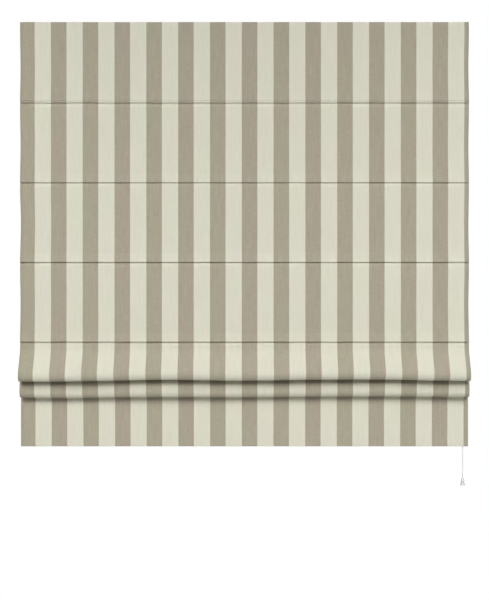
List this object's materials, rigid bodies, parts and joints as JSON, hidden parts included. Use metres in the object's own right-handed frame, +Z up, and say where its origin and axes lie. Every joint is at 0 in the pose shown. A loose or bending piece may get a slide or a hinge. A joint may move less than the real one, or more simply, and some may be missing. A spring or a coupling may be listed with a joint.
{
  "type": "roman blind",
  "caption": "Striped cloth roman blind hung half raised on a head rail, with stiffening rods, lift cords over rollers, a cord lock, a pull cord with a bell and wall brackets.",
  "frame": {"origin": "midway between the centre bracket's two screw holes, on the wall face", "axes": "+X to the right along the head rail seen from the room, +Y into the wall, +Z up"},
  "size_m": [1.3, 0.1042, 1.3452],
  "materials": {
    "striped_cloth": "woven, cream and taupe stripes",
    "tape": "hook and loop",
    "cord": "braided",
    "rail_paint": "satin white",
    "bar_metal": "plain",
    "bracket_steel": "zinc plated",
    "lock_brass": "knurled",
    "white_plastic": "moulded",
    "roller_plastic": "smooth moulded",
    "clear_plastic": "milky translucent",
    "glass_fibre": "drawn glass fibre"
  },
  "bodies": {
    "blind": {"blind_cloth": "striped_cloth", "headrail": "rail_paint", "hook_tape": "tape", "loop_tape": "tape", "stiffening_rod_1": "glass_fibre", "rod_rings_1": "clear_plastic", "stiffening_rod_2": "glass_fibre", "rod_rings_2": "clear_plastic", "stiffening_rod_3": "glass_fibre", "rod_rings_3": "clear_plastic", "stiffening_rod_4": "glass_fibre", "rod_rings_4": "clear_plastic", "stiffening_rod_5": "glass_fibre", "rod_rings_5": "clear_plastic", "stiffening_rod_6": "glass_fibre", "rod_rings_6": "clear_plastic", "bottom_bar": "bar_metal", "bottom_bar_cap_left": "white_plastic", "end_cap_left": "white_plastic", "bottom_bar_cap_right": "white_plastic", "end_cap_right": "white_plastic", "wall_bracket_left": "bracket_steel", "wall_bracket_centre": "bracket_steel", "wall_bracket_right": "bracket_steel", "latch_rivets": "bracket_steel", "cord_guide_1": "white_plastic", "lift_cord_1": "cord", "cord_guide_2": "white_plastic", "lift_cord_2": "cord", "cord_guide_3": "white_plastic", "lift_cord_3": "cord", "guide_axles": "bracket_steel", "cord_lock_housing": "white_plastic", "cord_lock_axle": "bracket_steel", "cord_connector_top": "clear_plastic", "cord_connector_bottom": "clear_plastic", "pull_cord": "cord", "pull_bell": "clear_plastic"},
    "guide_roller_1": {"guide_roller_1": "roller_plastic"},
    "guide_roller_2": {"guide_roller_2": "roller_plastic"},
    "guide_roller_3": {"guide_roller_3": "roller_plastic"},
    "cord_lock_wheel": {"cord_lock_wheel": "roller_plastic"},
    "cord_lock_roller": {"cord_lock_roller": "lock_brass"},
    "latch_left": {"latch_left": "white_plastic"},
    "latch_centre": {"latch_centre": "white_plastic"},
    "latch_right": {"latch_right": "white_plastic"}
  },
  "joints": [
    {"name": "guide_roller_1_spin", "type": "hinge", "parent": "blind", "child": "guide_roller_1", "pos_m": [-0.5141, -0.026, -0.0005], "axis": [0, 1, 0], "continuous": true},
    {"name": "guide_roller_2_spin", "type": "hinge", "parent": "blind", "child": "guide_roller_2", "pos_m": [0.0059, -0.026, -0.0005], "axis": [0, 1, 0], "continuous": true},
    {"name": "guide_roller_3_spin", "type": "hinge", "parent": "blind", "child": "guide_roller_3", "pos_m": [0.5259, -0.026, -0.0005], "axis": [0, 1, 0], "continuous": true},
    {"name": "cord_lock_wheel_spin", "type": "hinge", "parent": "blind", "child": "cord_lock_wheel", "pos_m": [0.6296, -0.026, -0.0005], "axis": [0, 1, 0], "continuous": true},
    {"name": "cord_lock_roller_slide", "type": "slide", "parent": "blind", "child": "cord_lock_roller", "axis": [-0.6018, 0, 0.7986], "range_m": [0, 0.004]},
    {"name": "latch_left_turn", "type": "hinge", "parent": "blind", "child": "latch_left", "pos_m": [-0.45, -0.026, 0.015], "axis": [0, 0, -1], "range_deg": [0, 90]},
    {"name": "latch_centre_turn", "type": "hinge", "parent": "blind", "child": "latch_centre", "pos_m": [0, -0.026, 0.015], "axis": [0, 0, -1], "range_deg": [0, 90]},
    {"name": "latch_right_turn", "type": "hinge", "parent": "blind", "child": "latch_right", "pos_m": [0.45, -0.026, 0.015], "axis": [0, 0, -1], "range_deg": [0, 90]}
  ],
  "couplings": [
    {"joint": "guide_roller_2_spin", "follows": "guide_roller_1_spin", "ratio": 1},
    {"joint": "guide_roller_3_spin", "follows": "guide_roller_1_spin", "ratio": 1},
    {"joint": "cord_lock_wheel_spin", "follows": "guide_roller_1_spin", "ratio": 1}
  ]
}
